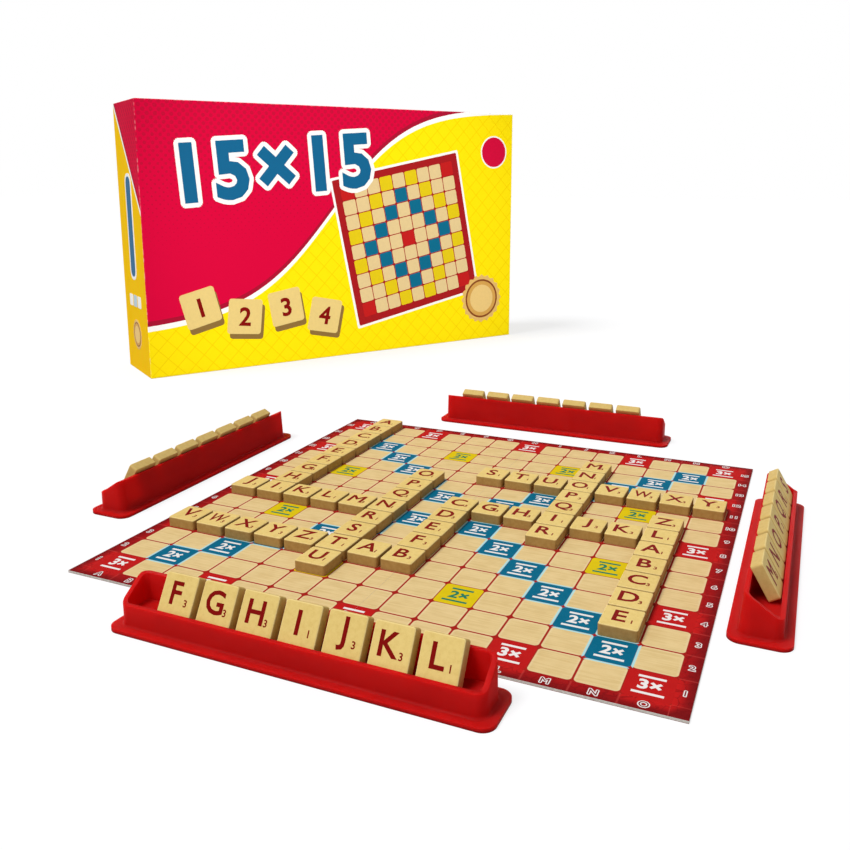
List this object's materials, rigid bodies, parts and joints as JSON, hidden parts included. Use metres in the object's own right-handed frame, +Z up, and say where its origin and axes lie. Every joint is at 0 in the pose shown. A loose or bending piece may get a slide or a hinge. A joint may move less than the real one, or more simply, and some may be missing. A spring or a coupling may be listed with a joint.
{
  "type": "word board game",
  "caption": "Crossword tile game set out for play: folding square board, letter tiles in words, moulded racks holding leaning tiles, and a lift-off lid box.",
  "frame": {"origin": "on the table, at the middle of the floor area that the whole set covers", "axes": "+X along the near edge of the board, from column A to column O; +Y away from the player at the near edge; +Z up"},
  "size_m": [0.6178, 0.75, 0.25],
  "materials": {
    "board_card": "raw grey board edge",
    "board_backing": "matt coated lining paper",
    "board_print": "printed, satin varnish",
    "rack_plastic": "moulded, satin gloss",
    "tile_plastic": "moulded, fine matt",
    "box_print": "printed wrap, gloss varnish",
    "box_card": "white lined grey board",
    "insert_card": "white folding card",
    "leaflet_paper": "uncoated paper"
  },
  "bodies": {
    "board_left": {"board_core_left": "board_card", "board_back_left": "board_backing", "play_sheet_left": "board_print"},
    "board_right": {"board_core_right": "board_card", "board_back_right": "board_backing", "play_sheet_right": "board_print"},
    "tiles_in_play": {"tiles_column_b": "tile_plastic", "tiles_row_7": "tile_plastic", "tiles_column_f": "tile_plastic", "tiles_row_4": "tile_plastic", "tiles_column_h": "tile_plastic", "tiles_row_8": "tile_plastic", "tiles_column_k": "tile_plastic", "tiles_row_11": "tile_plastic", "tiles_column_n": "tile_plastic"},
    "box_tray": {"box_base": "box_card", "box_insert": "insert_card"},
    "box_lid": {"box_lid": "box_print"},
    "rules_leaflet": {"rules_leaflet": "leaflet_paper"},
    "spare_tiles": {"spare_tiles": "tile_plastic"},
    "near_rack": {"near_rack": "rack_plastic"},
    "near_tile_1": {"near_tile_1": "tile_plastic"},
    "near_tile_2": {"near_tile_2": "tile_plastic"},
    "near_tile_3": {"near_tile_3": "tile_plastic"},
    "near_tile_4": {"near_tile_4": "tile_plastic"},
    "near_tile_5": {"near_tile_5": "tile_plastic"},
    "near_tile_6": {"near_tile_6": "tile_plastic"},
    "near_tile_7": {"near_tile_7": "tile_plastic"},
    "right_rack": {"right_rack": "rack_plastic"},
    "right_tile_1": {"right_tile_1": "tile_plastic"},
    "right_tile_2": {"right_tile_2": "tile_plastic"},
    "right_tile_3": {"right_tile_3": "tile_plastic"},
    "right_tile_4": {"right_tile_4": "tile_plastic"},
    "right_tile_5": {"right_tile_5": "tile_plastic"},
    "right_tile_6": {"right_tile_6": "tile_plastic"},
    "right_tile_7": {"right_tile_7": "tile_plastic"},
    "far_rack": {"far_rack": "rack_plastic"},
    "far_tile_1": {"far_tile_1": "tile_plastic"},
    "far_tile_2": {"far_tile_2": "tile_plastic"},
    "far_tile_3": {"far_tile_3": "tile_plastic"},
    "far_tile_4": {"far_tile_4": "tile_plastic"},
    "far_tile_5": {"far_tile_5": "tile_plastic"},
    "far_tile_6": {"far_tile_6": "tile_plastic"},
    "far_tile_7": {"far_tile_7": "tile_plastic"},
    "left_rack": {"left_rack": "rack_plastic"},
    "left_tile_1": {"left_tile_1": "tile_plastic"},
    "left_tile_2": {"left_tile_2": "tile_plastic"},
    "left_tile_3": {"left_tile_3": "tile_plastic"},
    "left_tile_4": {"left_tile_4": "tile_plastic"},
    "left_tile_5": {"left_tile_5": "tile_plastic"},
    "left_tile_6": {"left_tile_6": "tile_plastic"},
    "left_tile_7": {"left_tile_7": "tile_plastic"}
  },
  "joints": [
    {"name": "lid_slide", "type": "slide", "parent": "box_tray", "child": "box_lid", "axis": [0.8358, -0.549, 0], "range_m": [0, 0.16]},
    {"name": "board_fold", "type": "hinge", "parent": "board_left", "child": "board_right", "pos_m": [0.13583, -0.19901, 0.0013], "axis": [0, -1, 0], "range_deg": [0, 180]},
    {"name": "tiles_off_board", "type": "slide", "parent": "board_left", "child": "tiles_in_play", "axis": [0, 0, 1], "range_m": [0, 0.48]},
    {"name": "leaflet_out", "type": "slide", "parent": "box_tray", "child": "rules_leaflet", "axis": [0.8358, -0.549, 0], "range_m": [0, 0.09]},
    {"name": "spare_tiles_out", "type": "slide", "parent": "box_tray", "child": "spare_tiles", "axis": [0.8358, -0.549, 0], "range_m": [0, 0.09]},
    {"name": "box_lift", "type": "slide", "parent": "board_left", "child": "box_tray", "axis": [0, 0, 1], "range_m": [0, 0.1]},
    {"name": "near_rack_lift", "type": "slide", "parent": "board_left", "child": "near_rack", "axis": [0, 0, 1], "range_m": [0, 0.08]},
    {"name": "right_rack_lift", "type": "slide", "parent": "board_left", "child": "right_rack", "axis": [0, 0, 1], "range_m": [0, 0.08]},
    {"name": "far_rack_lift", "type": "slide", "parent": "board_left", "child": "far_rack", "axis": [0, 0, 1], "range_m": [0, 0.08]},
    {"name": "left_rack_lift", "type": "slide", "parent": "board_left", "child": "left_rack", "axis": [0, 0, 1], "range_m": [0, 0.08]},
    {"name": "near_tile_1_out", "type": "slide", "parent": "near_rack", "child": "near_tile_1", "axis": [0, 0.5, 0.866], "range_m": [0, 0.03]},
    {"name": "near_tile_2_out", "type": "slide", "parent": "near_rack", "child": "near_tile_2", "axis": [0, 0.5, 0.866], "range_m": [0, 0.03]},
    {"name": "near_tile_3_out", "type": "slide", "parent": "near_rack", "child": "near_tile_3", "axis": [0, 0.5, 0.866], "range_m": [0, 0.03]},
    {"name": "near_tile_4_out", "type": "slide", "parent": "near_rack", "child": "near_tile_4", "axis": [0, 0.5, 0.866], "range_m": [0, 0.03]},
    {"name": "near_tile_5_out", "type": "slide", "parent": "near_rack", "child": "near_tile_5", "axis": [0, 0.5, 0.866], "range_m": [0, 0.03]},
    {"name": "near_tile_6_out", "type": "slide", "parent": "near_rack", "child": "near_tile_6", "axis": [0, 0.5, 0.866], "range_m": [0, 0.03]},
    {"name": "near_tile_7_out", "type": "slide", "parent": "near_rack", "child": "near_tile_7", "axis": [0, 0.5, 0.866], "range_m": [0, 0.03]},
    {"name": "right_tile_1_out", "type": "slide", "parent": "right_rack", "child": "right_tile_1", "axis": [-0.5, 0, 0.866], "range_m": [0, 0.03]},
    {"name": "right_tile_2_out", "type": "slide", "parent": "right_rack", "child": "right_tile_2", "axis": [-0.5, 0, 0.866], "range_m": [0, 0.03]},
    {"name": "right_tile_3_out", "type": "slide", "parent": "right_rack", "child": "right_tile_3", "axis": [-0.5, 0, 0.866], "range_m": [0, 0.03]},
    {"name": "right_tile_4_out", "type": "slide", "parent": "right_rack", "child": "right_tile_4", "axis": [-0.5, 0, 0.866], "range_m": [0, 0.03]},
    {"name": "right_tile_5_out", "type": "slide", "parent": "right_rack", "child": "right_tile_5", "axis": [-0.5, 0, 0.866], "range_m": [0, 0.03]},
    {"name": "right_tile_6_out", "type": "slide", "parent": "right_rack", "child": "right_tile_6", "axis": [-0.5, 0, 0.866], "range_m": [0, 0.03]},
    {"name": "right_tile_7_out", "type": "slide", "parent": "right_rack", "child": "right_tile_7", "axis": [-0.5, 0, 0.866], "range_m": [0, 0.03]},
    {"name": "far_tile_1_out", "type": "slide", "parent": "far_rack", "child": "far_tile_1", "axis": [0, -0.5, 0.866], "range_m": [0, 0.03]},
    {"name": "far_tile_2_out", "type": "slide", "parent": "far_rack", "child": "far_tile_2", "axis": [0, -0.5, 0.866], "range_m": [0, 0.03]},
    {"name": "far_tile_3_out", "type": "slide", "parent": "far_rack", "child": "far_tile_3", "axis": [0, -0.5, 0.866], "range_m": [0, 0.03]},
    {"name": "far_tile_4_out", "type": "slide", "parent": "far_rack", "child": "far_tile_4", "axis": [0, -0.5, 0.866], "range_m": [0, 0.03]},
    {"name": "far_tile_5_out", "type": "slide", "parent": "far_rack", "child": "far_tile_5", "axis": [0, -0.5, 0.866], "range_m": [0, 0.03]},
    {"name": "far_tile_6_out", "type": "slide", "parent": "far_rack", "child": "far_tile_6", "axis": [0, -0.5, 0.866], "range_m": [0, 0.03]},
    {"name": "far_tile_7_out", "type": "slide", "parent": "far_rack", "child": "far_tile_7", "axis": [0, -0.5, 0.866], "range_m": [0, 0.03]},
    {"name": "left_tile_1_out", "type": "slide", "parent": "left_rack", "child": "left_tile_1", "axis": [0.5, 0, 0.866], "range_m": [0, 0.03]},
    {"name": "left_tile_2_out", "type": "slide", "parent": "left_rack", "child": "left_tile_2", "axis": [0.5, 0, 0.866], "range_m": [0, 0.03]},
    {"name": "left_tile_3_out", "type": "slide", "parent": "left_rack", "child": "left_tile_3", "axis": [0.5, 0, 0.866], "range_m": [0, 0.03]},
    {"name": "left_tile_4_out", "type": "slide", "parent": "left_rack", "child": "left_tile_4", "axis": [0.5, 0, 0.866], "range_m": [0, 0.03]},
    {"name": "left_tile_5_out", "type": "slide", "parent": "left_rack", "child": "left_tile_5", "axis": [0.5, 0, 0.866], "range_m": [0, 0.03]},
    {"name": "left_tile_6_out", "type": "slide", "parent": "left_rack", "child": "left_tile_6", "axis": [0.5, 0, 0.866], "range_m": [0, 0.03]},
    {"name": "left_tile_7_out", "type": "slide", "parent": "left_rack", "child": "left_tile_7", "axis": [0.5, 0, 0.866], "range_m": [0, 0.03]}
  ],
  "couplings": [
    {"joint": "tiles_off_board", "follows": "board_fold", "m_per_rad": 0.15},
    {"joint": "leaflet_out", "follows": "lid_slide", "ratio": 0.5},
    {"joint": "spare_tiles_out", "follows": "lid_slide", "ratio": 0.5}
  ]
}
